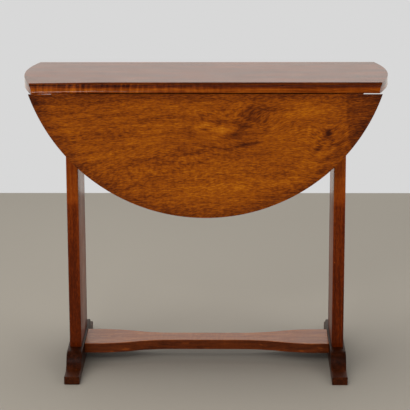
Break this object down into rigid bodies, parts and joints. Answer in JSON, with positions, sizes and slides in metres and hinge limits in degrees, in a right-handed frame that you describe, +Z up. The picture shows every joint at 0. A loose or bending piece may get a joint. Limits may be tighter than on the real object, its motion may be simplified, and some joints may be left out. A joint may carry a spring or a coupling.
{
  "type": "butterfly folding table",
  "caption": "Round drop-leaf table on two plank ends: hanging leaves on rule joints, held up by wings that swing out from a central spine rail.",
  "frame": {"origin": "on the floor under the middle of the top", "axes": "+X from plank end to plank end, along the rule joints; -Y is the front leaf's side; +Z up"},
  "size_m": [0.8, 0.402, 0.66],
  "materials": {
    "top_wood": "french polished figured maple, gloss",
    "leaf_wood": "french polished figured maple, gloss",
    "plank_wood": "french polished red-brown wood, gloss",
    "foot_wood": "dark stained wood, satin",
    "stretcher_wood": "french polished red-brown wood, gloss",
    "rail_wood": "planed and oiled secondary wood, satin",
    "wing_wood": "planed and waxed hardwood, satin",
    "hinge_brass": "aged rolled brass",
    "pin_brass": "turned brass rod",
    "screw_brass": "aged brass screws"
  },
  "bodies": {
    "frame": {"top_board": "top_wood", "stretcher": "stretcher_wood", "spine_rail": "rail_wood", "left_end_plank": "plank_wood", "right_end_plank": "plank_wood", "left_foot": "foot_wood", "right_foot": "foot_wood", "front_left_cleat": "rail_wood", "front_right_cleat": "rail_wood", "rear_left_cleat": "rail_wood", "rear_right_cleat": "rail_wood", "cleat_screws": "screw_brass", "front_left_hinge_top_plate": "hinge_brass", "front_left_hinge_pin": "hinge_brass", "front_right_hinge_top_plate": "hinge_brass", "front_right_hinge_pin": "hinge_brass", "rear_left_hinge_top_plate": "hinge_brass", "rear_left_hinge_pin": "hinge_brass", "rear_right_hinge_top_plate": "hinge_brass", "rear_right_hinge_pin": "hinge_brass", "top_hinge_screws": "hinge_brass", "front_pivot_block": "rail_wood", "rear_pivot_block": "rail_wood", "pivot_block_screws": "screw_brass"},
    "front_leaf": {"front_leaf": "leaf_wood", "front_left_hinge_leaf_plate": "hinge_brass", "front_right_hinge_leaf_plate": "hinge_brass", "front_leaf_hinge_screws": "hinge_brass", "front_bearer": "wing_wood", "front_bearer_screws": "screw_brass"},
    "front_wing": {"front_wing": "wing_wood", "front_wing_pins": "pin_brass"},
    "rear_leaf": {"rear_leaf": "leaf_wood", "rear_left_hinge_leaf_plate": "hinge_brass", "rear_right_hinge_leaf_plate": "hinge_brass", "rear_leaf_hinge_screws": "hinge_brass", "rear_bearer": "wing_wood", "rear_bearer_screws": "screw_brass"},
    "rear_wing": {"rear_wing": "wing_wood", "rear_wing_pins": "pin_brass"}
  },
  "joints": [
    {"name": "front_leaf_hinge", "type": "hinge", "parent": "frame", "child": "front_leaf", "pos_m": [0, -0.127, 0.638], "axis": [-1, 0, 0], "range_deg": [0, 90]},
    {"name": "rear_leaf_hinge", "type": "hinge", "parent": "frame", "child": "rear_leaf", "pos_m": [0, 0.127, 0.638], "axis": [1, 0, 0], "range_deg": [0, 90]},
    {"name": "front_wing_swing", "type": "hinge", "parent": "frame", "child": "front_wing", "pos_m": [-0.06, -0.0195, 0.58], "axis": [0, 0, -1], "range_deg": [0, 65]},
    {"name": "rear_wing_swing", "type": "hinge", "parent": "frame", "child": "rear_wing", "pos_m": [0.06, 0.0195, 0.58], "axis": [0, 0, -1], "range_deg": [0, 65]}
  ],
  "couplings": [
    {"joint": "front_wing_swing", "follows": "front_leaf_hinge", "ratio": 0.7222},
    {"joint": "rear_wing_swing", "follows": "rear_leaf_hinge", "ratio": 0.7222}
  ]
}
